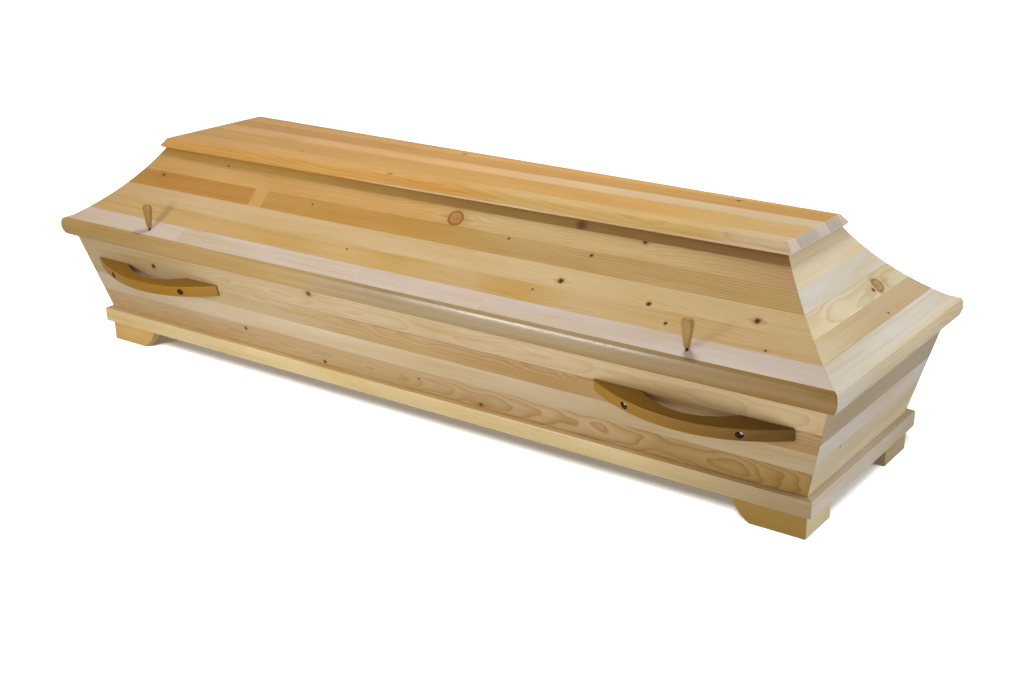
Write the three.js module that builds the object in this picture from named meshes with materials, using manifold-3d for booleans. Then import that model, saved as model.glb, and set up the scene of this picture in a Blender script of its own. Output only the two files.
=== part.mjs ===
// Tapered wooden coffin with a lift-off lid, standing on four bracket feet.
// Millimetres, +Z up, +X to the narrower foot end, -X to the wider head end, -Y to the front.
// The origin is on the floor, under the middle of the coffin.
import * as THREE from 'three';
import { mergeVertices } from 'three/addons/utils/BufferGeometryUtils.js';
import Module from 'manifold-3d';

const wasm = await Module();
wasm.setup();

// Plan: every level is a four-sided outline with the same taper, named by its half-length
const RIM_LENGTH = 2050;
const RIM_WIDTH = 664;
const TAPER = 0.0255;
const ENDS_BEYOND_SIDES = (RIM_LENGTH - RIM_WIDTH) / 2;
const JOINT_GAP = 0.3;
const MITRE_GAP = 0.22;

// Heights above the floor
const UNDERSIDE = 51.3;
const BOTTOM_TOP = 71.4;
const SKIRTING_TOP = 85.6;
const BOX_TOP = 285.2;
const CAP_UNDERSIDE = 495.7;
const CAP_TOP = 516.5;

// Box: boards that lean outwards, on the bottom board
const BOX_FOOT = 948.7;
const BOX_LEAN = 0.2394;
const BOARD_THICKNESS = 20;
const SKIRTING_FACE = 967.5;
const SKIRTING_EDGE = 2;
const FEET_FACE = 955.2;
const FOOT_THICKNESS = 22;
const FOOT_LENGTH_AT_FLOOR = 113;
const FOOT_LENGTH_AT_TOP = 151;
const FOOT_END_LENGTH = 106;

// Lid: a hollow curve from the cap down to the rim, which ends in a rounded nose
const LID_TOP = new THREE.Vector2(830, CAP_UNDERSIDE - JOINT_GAP);
const LID_SHOULDER = new THREE.Vector2(1000.4, 335.7);
const LID_HOLLOW = 12;
const RIM_SHARE_OF_SLOPE = 0.14;
const NOSE_TOP_RADIUS = 9;
const NOSE_TOP_HEIGHT = 331;
const NOSE_LOW_RADIUS = 14;
const CAP_EDGE = 841.5;
const CAP_TOP_EDGE = 828.1;
const CAP_LIP = 3;

// Bow handles, measured along the wall, up the wall and out from it
const HANDLE_AT = 726;
const HANDLE_LENGTH = 415;
const HANDLE_REACH = 57;
const HANDLE_TIP = 4.5;
const HANDLE_HEIGHT = 27;
const HANDLE_UP_WALL = 133.5;
const WALL_START = 89.8;
const GRIP_LENGTH = 205;
const GRIP_DEPTH = 32;
const HANDLE_SCREW_AT = 120;
const SCREW_HOLE_RADIUS = 7.5;
const SCREW_HOLE_FLOOR = 30;
const SCREW_HEAD_RADIUS = 6;
const SCREW_HEAD_HEIGHT = 4;
const SCREW_SHANK_RADIUS = 3;
const SCREW_BITE = 12;

// Lid screws: upright wooden wing heads on metal shanks
const LID_SCREW_AT = 722;
const LID_SCREW_LEVEL = 997;
const LID_SCREW_CLEAR = 6;
const SHANK_RADIUS = 3;
const SHANK_IN_RIM = 18;
const SHANK_IN_HEAD = 8;
const WING_CORNER = 2;
const WING_SECTIONS = [
  { up: 0, halfWidth: 5, halfDepth: 5 },
  { up: 7, halfWidth: 8, halfDepth: 5 },
  { up: 42, halfWidth: 12, halfDepth: 7 },
  { up: 55, halfWidth: 7.5, halfDepth: 5.5 },
];

const pine = () => new THREE.MeshStandardMaterial({ color: 0xd6b88a, roughness: 0.42 });
const honeyWood = () => new THREE.MeshStandardMaterial({ color: 0x9a7434, roughness: 0.45 });
const brightMetal = () => new THREE.MeshStandardMaterial({ color: 0xcfcad2, metalness: 1, roughness: 0.25 });
const darkMetal = () => new THREE.MeshStandardMaterial({ color: 0x33231a, metalness: 1, roughness: 0.5 });

const coffin = new THREE.Group();

function addPiece(name, geometry, material, parent = coffin) {
  const piece = new THREE.Mesh(geometry, material);
  piece.name = name;
  parent.add(piece);
  return piece;
}

// Closed solid between two matching rings of points, faces turned outwards
function loft(rings, capOutline) {
  const size = rings[0].length;
  const indices = [];
  for (let level = 0; level + 1 < rings.length; level += 1) {
    for (let i = 0; i < size; i += 1) {
      const next = (i + 1) % size;
      const low = level * size;
      const high = low + size;
      indices.push(low + i, low + next, high + next, low + i, high + next, high + i);
    }
  }
  const last = (rings.length - 1) * size;
  const outlineArea = THREE.ShapeUtils.area(capOutline);
  for (const face of THREE.ShapeUtils.triangulateShape(capOutline, [])) {
    const faceArea = THREE.ShapeUtils.area(face.map((i) => capOutline[i]));
    const [a, b, c] = faceArea * outlineArea > 0 ? face : face.toReversed();
    indices.push(c, b, a, last + a, last + b, last + c);
  }
  const points = rings.flat();
  if (signedVolume(points, indices) < 0) {
    indices.reverse();
  }
  const geometry = new THREE.BufferGeometry().setFromPoints(points);
  geometry.setIndex(indices);
  geometry.computeVertexNormals();
  return geometry;
}

function signedVolume(points, indices) {
  let volume = 0;
  const cross = new THREE.Vector3();
  for (let i = 0; i < indices.length; i += 3) {
    const [a, b, c] = [points[indices[i]], points[indices[i + 1]], points[indices[i + 2]]];
    volume += cross.crossVectors(b, c).dot(a) / 6;
  }
  return volume;
}

// Positions only, with shared corners merged
function welded(geometry) {
  const bare = new THREE.BufferGeometry();
  bare.setAttribute('position', geometry.getAttribute('position').clone());
  bare.setIndex(geometry.getIndex());
  return mergeVertices(bare, 1e-3);
}

function toManifold(weldedGeometry) {
  const vertProperties = new Float32Array(weldedGeometry.getAttribute('position').array);
  const triVerts = new Uint32Array(weldedGeometry.getIndex().array);
  return new wasm.Manifold(new wasm.Mesh({ numProp: 3, vertProperties, triVerts }));
}

// The geometry with every welded cutter taken out of it
function bored(geometry, cutters) {
  let solid = toManifold(welded(geometry));
  for (const cutter of cutters) {
    solid = solid.subtract(toManifold(cutter));
  }
  const mesh = solid.getMesh();
  const result = new THREE.BufferGeometry();
  result.setAttribute('position', new THREE.BufferAttribute(new Float32Array(mesh.vertProperties), 3));
  result.setIndex(new THREE.BufferAttribute(new Uint32Array(mesh.triVerts), 1));
  result.computeVertexNormals();
  return result;
}

// A point on the long side's face of a level: way is -1 at the front and +1 at the back
function onSide(x, level, z, way) {
  return new THREE.Vector3(x, way * (level - ENDS_BEYOND_SIDES - TAPER * x), z);
}

// A point on the end's face of a level: end is +1 at the foot and -1 at the head
function onEnd(y, level, z, end) {
  return new THREE.Vector3(end * level, y, z);
}

const halfWidthAtEnd = (level, end) => level - ENDS_BEYOND_SIDES - TAPER * end * level;

// Board of one profile, points (level, z), mitred at both corners, along a long side
function sideBoard(profile, way) {
  const ring = (end) => profile.map((p) => onSide(end * (p.x - MITRE_GAP), p.x, p.y, way));
  return loft([ring(-1), ring(1)], profile);
}

// The same board across an end
function endBoard(profile, end) {
  const ring = (way) => profile.map((p) =>
    onEnd(way * (halfWidthAtEnd(p.x, end) - MITRE_GAP), p.x, p.y, end));
  return loft([ring(-1), ring(1)], profile);
}

// Solid slab whose edge follows (level, z) steps from the bottom up
function slab(steps) {
  const corners = [[1, -1], [1, 1], [-1, 1], [-1, -1]];
  const rings = steps.map((p) => corners.map(([end, way]) => onSide(end * p.x, p.x, p.y, way)));
  return loft(rings, rings[0].map((point) => new THREE.Vector2(point.x, point.y)));
}

const SIDES = [['front', -1], ['back', 1]];
const ENDS = [['head', -1], ['foot', 1]];

const v2 = (x, y) => new THREE.Vector2(x, y);

// Four mitred boards of one profile, round the whole coffin
function boardsAround(name, profile, bores = {}) {
  for (const [side, way] of SIDES) {
    const plain = sideBoard(profile, way);
    const geometry = bores[side] ? bored(plain, bores[side]) : plain;
    addPiece(`${name}_${side}`, geometry, pine());
  }
  for (const [end, sign] of ENDS) {
    addPiece(`${name}_${end}`, endBoard(profile, sign), pine());
  }
}

const boxFace = (z) => BOX_FOOT + BOX_LEAN * (z - BOTTOM_TOP);
const boxThicknessAcross = BOARD_THICKNESS * Math.hypot(1, BOX_LEAN);

function boxProfile() {
  const low = BOTTOM_TOP + JOINT_GAP;
  return [
    v2(boxFace(low), low),
    v2(boxFace(BOX_TOP), BOX_TOP),
    v2(boxFace(BOX_TOP) - boxThicknessAcross, BOX_TOP),
    v2(boxFace(low) - boxThicknessAcross, low),
  ];
}

function skirtingProfile() {
  return [
    v2(SKIRTING_FACE, UNDERSIDE),
    v2(SKIRTING_FACE, SKIRTING_TOP - SKIRTING_EDGE),
    v2(SKIRTING_FACE - SKIRTING_EDGE, SKIRTING_TOP),
    v2(boxFace(SKIRTING_TOP) + JOINT_GAP, SKIRTING_TOP),
    v2(boxFace(BOTTOM_TOP) + JOINT_GAP, BOTTOM_TOP),
    v2(BOX_FOOT + JOINT_GAP, UNDERSIDE),
  ];
}

// The lid's hollow curve is part of a circle whose centre lies outside and above the slope
const chord = LID_SHOULDER.clone().sub(LID_TOP);
const curveRadius = (chord.lengthSq() / 4 + LID_HOLLOW ** 2) / (2 * LID_HOLLOW);
const outwards = v2(-chord.y, chord.x).normalize();
const curveCentre = LID_TOP.clone().lerp(LID_SHOULDER, 0.5)
  .addScaledVector(outwards, curveRadius - LID_HOLLOW);
const angleOf = (p) => Math.atan2(p.y - curveCentre.y, p.x - curveCentre.x);
const angleTop = angleOf(LID_TOP);
const angleShoulder = angleOf(LID_SHOULDER);
const angleJoint = THREE.MathUtils.lerp(angleShoulder, angleTop, RIM_SHARE_OF_SLOPE);
const innerRadius = curveRadius + BOARD_THICKNESS;

function arc(centre, radius, from, to, steps) {
  const points = [];
  for (let i = 0; i <= steps; i += 1) {
    const angle = THREE.MathUtils.lerp(from, to, i / steps);
    points.push(v2(centre.x + radius * Math.cos(angle), centre.y + radius * Math.sin(angle)));
  }
  return points;
}

function lidProfile() {
  const innerTop = -Math.PI + Math.asin((curveCentre.y - LID_TOP.y) / innerRadius);
  return [
    ...arc(curveCentre, curveRadius, angleTop, angleJoint, 12),
    ...arc(curveCentre, innerRadius, angleJoint, innerTop, 12),
  ];
}

function rimProfile() {
  const joint = angleJoint + JOINT_GAP / curveRadius;
  const innerFace = boxFace(BOX_TOP) - boxThicknessAcross;
  const innerTurn = -Math.acos((innerFace - curveCentre.x) / innerRadius);
  const edge = RIM_LENGTH / 2;
  const noseTop = v2(edge - NOSE_TOP_RADIUS, NOSE_TOP_HEIGHT - NOSE_TOP_RADIUS);
  const noseLow = v2(edge - NOSE_LOW_RADIUS, BOX_TOP + JOINT_GAP + NOSE_LOW_RADIUS);
  return [
    ...arc(curveCentre, curveRadius, joint, angleShoulder, 4),
    ...arc(noseTop, NOSE_TOP_RADIUS, THREE.MathUtils.degToRad(75), 0, 6),
    ...arc(noseLow, NOSE_LOW_RADIUS, 0, -Math.PI / 2, 8),
    v2(innerFace, BOX_TOP + JOINT_GAP),
    ...arc(curveCentre, innerRadius, innerTurn, joint, 3),
  ];
}

// Height of the lid's outer face at a level between the joint and the shoulder
function slopeHeight(level) {
  const across = level - curveCentre.x;
  return curveCentre.y - Math.sqrt(curveRadius ** 2 - across ** 2);
}

// Frame on a long wall: x runs along it, y points out of it, z points down it
function wallFrame(x, upWall, way) {
  const along = v2(1, -way * TAPER).normalize();
  const run = new THREE.Vector3(-way * along.x, -way * along.y, 0);
  const lean = new THREE.Vector3(0, way * BOX_LEAN, 1);
  const up = lean.addScaledVector(run, -lean.dot(run)).normalize();
  const out = new THREE.Vector3().crossVectors(run, up);
  const foot = onSide(x, boxFace(WALL_START), WALL_START, way);
  const frame = new THREE.Matrix4().makeBasis(run, out, up.clone().negate());
  frame.setPosition(foot.addScaledVector(up, upWall));
  return frame;
}

function cylinderAlongY(radius, from, to, x = 0, sides = 16) {
  const cylinder = new THREE.CylinderGeometry(radius, radius, to - from, sides);
  return welded(cylinder).translate(x, (from + to) / 2, 0);
}

// Crescent seen from above: a shallow outer arc, blunt tips and a hollow for the fingers
function handleGeometry() {
  const half = HANDLE_LENGTH / 2;
  const grip = GRIP_LENGTH / 2;
  const rise = HANDLE_REACH - HANDLE_TIP;
  const outerRadius = (half ** 2 + rise ** 2) / (2 * rise);
  const gripRadius = (grip ** 2 + GRIP_DEPTH ** 2) / (2 * GRIP_DEPTH);
  const outerCentre = v2(0, HANDLE_REACH - outerRadius);
  const gripCentre = v2(0, JOINT_GAP + GRIP_DEPTH - gripRadius);
  const outerStart = Math.acos(half / outerRadius);
  const gripStart = Math.acos(grip / gripRadius);
  const outline = [
    v2(half, JOINT_GAP),
    ...arc(outerCentre, outerRadius, outerStart, Math.PI - outerStart, 28),
    v2(-half, JOINT_GAP),
    ...arc(gripCentre, gripRadius, Math.PI - gripStart, gripStart, 20),
  ];
  const depth = { depth: HANDLE_HEIGHT, bevelEnabled: false };
  const bow = new THREE.ExtrudeGeometry(new THREE.Shape(outline), depth);
  bow.translate(0, 0, -HANDLE_HEIGHT / 2);
  const holes = [];
  for (const x of [-HANDLE_SCREW_AT, HANDLE_SCREW_AT]) {
    holes.push(cylinderAlongY(SCREW_HOLE_RADIUS, SCREW_HOLE_FLOOR, HANDLE_REACH + 5, x));
    holes.push(cylinderAlongY(SCREW_SHANK_RADIUS + JOINT_GAP, -5, SCREW_HOLE_FLOOR + 1, x));
  }
  return bored(bow, holes);
}

// Screw with a low domed head, its axis out of the wall
function handleScrewGeometry() {
  const seat = SCREW_HOLE_FLOOR + JOINT_GAP;
  const profile = [
    v2(0, -SCREW_BITE),
    v2(SCREW_SHANK_RADIUS, -SCREW_BITE),
    v2(SCREW_SHANK_RADIUS, seat),
    v2(SCREW_HEAD_RADIUS, seat),
    v2(SCREW_HEAD_RADIUS, seat + SCREW_HEAD_HEIGHT * 0.6),
    v2(SCREW_HEAD_RADIUS * 0.6, seat + SCREW_HEAD_HEIGHT),
    v2(0, seat + SCREW_HEAD_HEIGHT),
  ];
  return new THREE.LatheGeometry(profile, 16);
}

// Handles with their screws; returns the bores that the screws need in each long wall
function addHandles() {
  const wallBores = { front: [], back: [] };
  for (const [side, way] of SIDES) {
    for (const [end, sign] of ENDS) {
      const frame = wallFrame(sign * HANDLE_AT, HANDLE_UP_WALL, way);
      const place = new THREE.Group();
      place.applyMatrix4(frame);
      coffin.add(place);
      addPiece(`handle_${side}_${end}`, handleGeometry(), honeyWood(), place);
      [-HANDLE_SCREW_AT, HANDLE_SCREW_AT].forEach((x, index) => {
        const screw = handleScrewGeometry().translate(x, 0, 0);
        addPiece(`handle_screw_${side}_${end}_${index + 1}`, screw, brightMetal(), place);
        const bore = cylinderAlongY(SCREW_SHANK_RADIUS + JOINT_GAP, -SCREW_BITE - 1, 5, x);
        wallBores[side].push(bore.applyMatrix4(frame));
      });
    }
  }
  return wallBores;
}

// Eight-sided wing head: waisted at the shank, widest near the top, with a bore for the shank
function wingGeometry() {
  const outline = (s) => [
    [s.halfWidth, WING_CORNER - s.halfDepth],
    [s.halfWidth, s.halfDepth - WING_CORNER],
    [s.halfWidth - WING_CORNER, s.halfDepth],
    [WING_CORNER - s.halfWidth, s.halfDepth],
    [-s.halfWidth, s.halfDepth - WING_CORNER],
    [-s.halfWidth, WING_CORNER - s.halfDepth],
    [WING_CORNER - s.halfWidth, -s.halfDepth],
    [s.halfWidth - WING_CORNER, -s.halfDepth],
  ];
  const rings = WING_SECTIONS.map((s) => outline(s).map(([x, y]) => new THREE.Vector3(x, y, s.up)));
  const wing = loft(rings, rings[0].map((p) => v2(p.x, p.y)));
  const bore = cylinderAlongY(SHANK_RADIUS + JOINT_GAP, -5, SHANK_IN_HEAD + JOINT_GAP);
  return bored(wing, [bore.rotateX(Math.PI / 2)]);
}

// Lid screws; returns the bores that their shanks need in the rim at the front and the back
function addLidScrews() {
  const rimBores = { front: [], back: [] };
  const surface = slopeHeight(LID_SCREW_LEVEL);
  for (const [side, way] of SIDES) {
    for (const [end, sign] of ENDS) {
      const place = new THREE.Group();
      place.position.copy(onSide(sign * LID_SCREW_AT, LID_SCREW_LEVEL, surface, way));
      place.rotation.z = -way * Math.atan(TAPER);
      coffin.add(place);
      const wing = wingGeometry().translate(0, 0, LID_SCREW_CLEAR);
      addPiece(`lid_screw_head_${side}_${end}`, wing, honeyWood(), place);
      const shank = cylinderAlongY(SHANK_RADIUS, -SHANK_IN_RIM, LID_SCREW_CLEAR + SHANK_IN_HEAD);
      addPiece(`lid_screw_shank_${side}_${end}`, shank.rotateX(Math.PI / 2), darkMetal(), place);
      const bore = cylinderAlongY(SHANK_RADIUS + JOINT_GAP, -SHANK_IN_RIM - JOINT_GAP, 15);
      place.updateMatrixWorld(true);
      rimBores[side].push(bore.rotateX(Math.PI / 2).applyMatrix4(place.matrixWorld));
    }
  }
  return rimBores;
}

// Bracket feet: a shaped board along the side and a plain one across the end, mitred together
function addFeet() {
  const top = UNDERSIDE - JOINT_GAP;
  const cut = new THREE.QuadraticBezierCurve(
    v2(FEET_FACE - FOOT_LENGTH_AT_TOP, top),
    v2(FEET_FACE - FOOT_LENGTH_AT_TOP, top / 2),
    v2(FEET_FACE - FOOT_LENGTH_AT_FLOOR, 0),
  ).getPoints(6);
  const inner = FEET_FACE - FOOT_THICKNESS;
  for (const [side, way] of SIDES) {
    for (const [end, sign] of ENDS) {
      const ring = (level) => {
        const outline = [v2(level - MITRE_GAP, 0), v2(level - MITRE_GAP, top), ...cut];
        return outline.map((p) => onSide(sign * p.x, level, p.y, way));
      };
      const outer = [v2(FEET_FACE, 0), v2(FEET_FACE, top), ...cut];
      addPiece(`foot_board_${side}_${end}`, loft([ring(FEET_FACE), ring(inner)], outer), pine());
      const freeEnd = halfWidthAtEnd(FEET_FACE, sign) - FOOT_END_LENGTH;
      const square = (level) => {
        const corner = halfWidthAtEnd(level, sign) - MITRE_GAP;
        const outline = [[corner, 0], [corner, top], [freeEnd, top], [freeEnd, 0]];
        return outline.map(([y, z]) => onEnd(way * y, level, z, sign));
      };
      const plain = [v2(1, 0), v2(1, 1), v2(0, 1), v2(0, 0)];
      const board = loft([square(FEET_FACE), square(inner)], plain);
      addPiece(`foot_return_${side}_${end}`, board, pine());
    }
  }
}

const wallBores = addHandles();
const rimBores = addLidScrews();
addFeet();
addPiece('bottom_board', slab([v2(BOX_FOOT, UNDERSIDE), v2(BOX_FOOT, BOTTOM_TOP)]), pine());
boardsAround('box_board', boxProfile(), wallBores);
boardsAround('skirting', skirtingProfile());
boardsAround('lid_board', lidProfile());
boardsAround('lid_rim', rimProfile(), rimBores);
addPiece('lid_cap', slab([
  v2(CAP_EDGE - CAP_LIP / 2, CAP_UNDERSIDE),
  v2(CAP_EDGE, CAP_UNDERSIDE + CAP_LIP),
  v2(CAP_TOP_EDGE, CAP_TOP),
]), pine());

export default coffin;
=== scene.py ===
"""Looks of a tapered wooden coffin: edge-glued pale staves under satin lacquer."""
import math

import bpy
import numpy as np
from mathutils import Matrix, Vector


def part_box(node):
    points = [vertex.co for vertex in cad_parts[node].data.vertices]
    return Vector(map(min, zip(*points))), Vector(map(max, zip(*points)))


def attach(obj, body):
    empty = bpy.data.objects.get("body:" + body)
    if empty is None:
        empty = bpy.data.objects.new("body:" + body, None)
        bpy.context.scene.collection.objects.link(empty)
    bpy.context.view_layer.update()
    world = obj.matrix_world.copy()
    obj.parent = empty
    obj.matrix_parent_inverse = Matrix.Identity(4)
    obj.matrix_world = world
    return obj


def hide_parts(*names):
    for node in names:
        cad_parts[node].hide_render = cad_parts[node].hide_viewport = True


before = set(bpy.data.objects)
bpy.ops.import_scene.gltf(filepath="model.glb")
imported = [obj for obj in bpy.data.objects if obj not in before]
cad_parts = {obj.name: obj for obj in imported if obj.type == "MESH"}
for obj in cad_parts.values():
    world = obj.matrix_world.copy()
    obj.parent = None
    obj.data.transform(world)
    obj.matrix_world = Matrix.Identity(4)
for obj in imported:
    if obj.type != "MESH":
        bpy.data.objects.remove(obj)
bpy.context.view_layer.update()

MM = 0.001
X, Y, Z = 0, 1, 2


def low(node, axis):
    """Lowest reach of a CAD node along an axis."""
    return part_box(node)[0][axis]


def high(node, axis):
    """Highest reach of a CAD node along an axis."""
    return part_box(node)[1][axis]


# Plan of the coffin, read from the frame: a level is an outline named by its half-length
MITRE_GAP = 0.22 * MM
HALF_LENGTH = high("lid_rim_foot", X)
HEAD_HALF_WIDTH = high("lid_rim_head", Y)
FOOT_HALF_WIDTH = high("lid_rim_foot", Y)
TAPER = (HEAD_HALF_WIDTH - FOOT_HALF_WIDTH) / (2 * HALF_LENGTH)
ENDS_BEYOND_SIDES = HALF_LENGTH - (HEAD_HALF_WIDTH + FOOT_HALF_WIDTH) / 2 - MITRE_GAP

# Heights and levels read from the frame
UNDERSIDE = low("bottom_board", Z)
BOTTOM_TOP = high("bottom_board", Z)
BOX_START = low("box_board_foot", Z)
BOX_TOP = high("box_board_foot", Z)
BOX_FOOT_LEVEL = high("bottom_board", X)
BOX_LEAN = (high("box_board_foot", X) - BOX_FOOT_LEVEL) / (BOX_TOP - BOTTOM_TOP)
SKIRTING_TOP = high("skirting_foot", Z)
SKIRTING_FACE = high("skirting_foot", X)
FEET_FACE = high("foot_return_front_foot", X)
FEET_TOP = high("foot_return_front_foot", Z)
RIM_LOW = low("lid_rim_foot", Z)
CAP_LOW = low("lid_cap", Z)
CAP_TOP = high("lid_cap", Z)
CAP_EDGE = high("lid_cap", X)

# Sizes that the frame doesn't tell
BOARD_THICKNESS = 20 * MM
BOARD_ACROSS = BOARD_THICKNESS * math.hypot(1, BOX_LEAN)
GAP = 0.3 * MM
LID_TOP = np.array([830, 495.4]) * MM
LID_SHOULDER = np.array([1000.4, 335.7]) * MM
LID_HOLLOW = 12 * MM
RIM_SHARE_OF_SLOPE = 0.14
NOSE_TOP_RADIUS = 5 * MM
NOSE_LOW_RADIUS = 11 * MM
BELLY_HEIGHT = 310 * MM
BELLY_RADIUS = 46 * MM
LOW_BELLY_RADIUS = 32 * MM
BELLY_TURN = math.radians(20)
NOSE_START = math.radians(80)
SHELF_SHARES = ((0.4,), (0.75,))
CAP_TOP_EDGE = 828.1 * MM
CAP_LIP = 3 * MM
CORNER_RADIUS = 2 * MM
RIM_CORNER_RADIUS = 3 * MM
EDGE_RADIUS = 2 * MM
SKIRTING_LOWER_EDGE = 0.8 * MM
FOOT_EDGE = 1 * MM
FOOT_THICKNESS = 22 * MM
FOOT_LENGTH_AT_FLOOR = 113 * MM
FOOT_LENGTH_AT_TOP = 151 * MM
FOOT_END_LENGTH = 106 * MM

# Bow handles: along the wall, up the wall and out from it
HANDLE_AT = 726 * MM
HANDLE_LENGTH = 415 * MM
HANDLE_REACH = 57 * MM
HANDLE_TIP = 4.5 * MM
HANDLE_HEIGHT = 27 * MM
HANDLE_UP_WALL = 133.5 * MM
WALL_START = 89.8 * MM
GRIP_LENGTH = 205 * MM
GRIP_DEPTH = 32 * MM
HANDLE_SCREW_AT = 120 * MM
SCREW_HOLE_RADIUS = 7.5 * MM
SCREW_HOLE_FLOOR = 30 * MM
SCREW_HOLE_MOUTH = HANDLE_REACH - 17.2 * MM
COUNTERSINK = 1.45
HANDLE_EDGE = 2 * MM

# Lid screws' wooden wing heads: height, half-width and half-depth of each section, in millimetres
WING_SECTIONS = ((0, 6, 4.5), (5, 7, 5), (44, 12, 7), (52, 11.5, 6.5), (55, 9.5, 5))
WING_CORNER = 3.2 * MM
WING_EDGE = 0.35 * MM

# Stave joints: levels on the lid, heights on the box, places across the cap
LID_JOINTS = (870.5, 902, 937)
# The front lid's first joint bounds a narrow band under the cap, which carries painted shadow
FRONT_LID_JOINTS = (844.5, *LID_JOINTS)
RIM_JOINT = 1011
SHELF_MARKS = (1008, 1014)
BOX_SIDE_JOINTS = (140, 184, 230)
BOX_FRONT_JOINTS = (140, 184, 229, 230.2)
BOX_END_JOINTS = (113, 160, 206)
CAP_JOINTS = (-86, -4, 43, 99)
BOTTOM_JOINTS = (-180, -120, -60, 0, 60, 120, 180)

SIDES = {"front": -1, "back": 1}
ENDS = {"head": -1, "foot": 1}


def linear(code):
    """Linear colour of a six-digit screen colour."""
    parts = np.array([int(code[i:i + 2], 16) for i in (0, 2, 4)]) / 255
    return np.where(parts <= 0.04045, parts / 12.92, ((parts + 0.055) / 1.055) ** 2.4)


# Wood tones, as screen colours; the three tones of the front lid's first stave, under the cap, are
# painted shadow
TONE_CODES = {
    "gold": "c89e5e", "pale gold": "c5a775", "tan": "b39062", "rust": "b8873e", "amber": "ba8f46",
    "brown tan": "b89964", "cream": "c9ad81", "grey cream": "cdb489", "orange": "c5a36a",
    "deep orange": "c19d5d", "dull orange": "c4a777", "pink": "cab8a7", "mauve": "c9baac",
    "olive gold": "b4945b", "olive": "9d8861", "mouse": "8f6e33", "straw": "c2ab84",
    "pale straw": "d2be9f", "pink brown": "c7a97c", "yellow pine": "edd6a1", "white": "d0c8b8",
    "oyster": "dbcaa9", "sage": "d1c4a3", "lilac": "d4c7b8", "dove": "b09d7f", "cap shadow gold": "be9345",
    "cap shadow tan": "a5813f", "cap shadow brown": "99713a", "pearl": "dacdb9", "flax": "c0b197",
    "glue line": "8a6a44", "dun": "c5ac80", "cap orange": "ca994c", "cap straw": "c6a464",
    "cap gold": "c39545", "cap rose": "d0a061", "cap cream": "c9b28e", "cap amber": "bb8c3e",
    "pale foot": "e6bc71", "brown foot": "c19a45", "foot return": "e2d4a9", "dull return": "b09d73",
    "end grain": "c8bfba",
}
TONES = {name: linear(code) for name, code in TONE_CODES.items()}
QUIET_TONES = (
    "gold", "pale gold", "brown tan", "cream", "grey cream", "orange", "pink", "straw", "pale straw")
QUIET_KNOT_RADII = (3, 4, 6, 8, 14)


class Piece:
    """One length of a stave: where it ends, its tones along the way (one name, or places with names),
    how far its growth rings lie flat in the board and how strongly they show."""

    def __init__(self, end, tones, figure=0.3, contrast=0.5):
        stops = ((0, tones),) if isinstance(tones, str) else tones
        strengths = contrast if isinstance(contrast, tuple) else ((0, contrast),)
        self.end = end * MM
        self.places = [place * MM for place, _ in stops]
        self.tones = np.array([TONES[tone] for _, tone in stops])
        self.figure = figure
        self.contrast_places = [place * MM for place, _ in strengths]
        self.contrasts = [strength for _, strength in strengths]

    def tone_at(self, along):
        """Colour that passes evenly from one stop to the next."""
        return np.stack([np.interp(along, self.places, self.tones[:, part]) for part in range(3)], -1)

    def contrast_at(self, along):
        """How strongly the rings show, passing evenly from one stop to the next."""
        return np.interp(along, self.contrast_places, self.contrasts)


LAST = 5000


def whole(tones, figure=0.3, contrast=0.5):
    """A stave in one length."""
    return (Piece(LAST, tones, figure, contrast),)


FRONT_LID = (
    # First, narrow stave under the cap's overhang: its tones are painted shadow, darker towards the foot
    # end
    whole(((-400, "cap shadow gold"), (150, "cap shadow tan"), (700, "cap shadow brown")), 0.6),
    whole(((-500, "gold"), (0, "gold"), (150, "pale gold"), (600, "pale gold"), (850, "tan")),
           0.6),
    (Piece(-485, "rust", 0.5, 0.7), Piece(-445, "gold"),
     Piece(LAST, ((0, "amber"), (250, "brown tan")), 0.4, 0.8)),
    (Piece(180, "cream", 0.2, 0.3), Piece(LAST, "grey cream", 0.15, 0.9)),
    whole(((-450, "orange"), (-320, "deep orange"), (-160, "orange"), (0, "deep orange"),
                  (200, "dull orange"), (320, "deep orange"), (450, "dull orange")), 0.7, 0.4),
)
FRONT_RIM = (
    (Piece(-620, "pink", 0.3, 0.25), Piece(-70, ((-620, "mauve"), (-100, "pink")), 0.4, 0.3),
     Piece(260, ((0, "mauve"), (260, "pink")), 0.4, 0.3), Piece(LAST, "mauve", 0.5, 0.3)),
    whole(((-1000, "olive gold"), (-300, "olive gold"), (0, "olive"), (500, "olive"),
                  (900, "mouse")), 0.3),
)
FOOT_LID = (
    whole("oyster", 0.5, 0.3),
    whole("white", 0.2, 0.2),
    whole(((-60, "oyster"), (40, "sage")), 0.95, 0.7),
    whole(((-200, "sage"), (0, "straw")), 0.6),
)
FOOT_RIM = (
    whole("white", 0.3, 0.3),
    whole(((-300, "white"), (0, "oyster")), 0.9, 0.6),
)
FRONT_BOX = (
    whole(((-900, "pink brown"), (500, "pink brown"), (700, "olive gold")),
           1.0, ((-800, 0.4), (0, 0.7), (400, 1.2))),
    whole(((-600, "pale straw"), (0, "pale straw"), (600, "straw")), 0.3, 0.3),
    (Piece(-560, "straw"), Piece(LAST, ((-400, "straw"), (0, "brown tan"), (900, "tan")),
                                 0.8, ((-500, 0.3), (0, 0.6), (400, 1.0)))),
    (Piece(-540, "straw"), Piece(560, ((-540, "brown tan"), (0, "glue line"))), Piece(LAST, "tan")),
    (Piece(-600, "straw", 0.5), Piece(LAST, ((0, "straw"), (400, "straw"), (500, "dun")), 0.85, 0.5)),
)
FOOT_BOX = (
    whole("oyster", 0.5, 0.4),
    whole("sage", 0.8, 0.5),
    whole("lilac", 0.3, 0.3),
    whole("dove", 0.6, 0.5),
)
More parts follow.
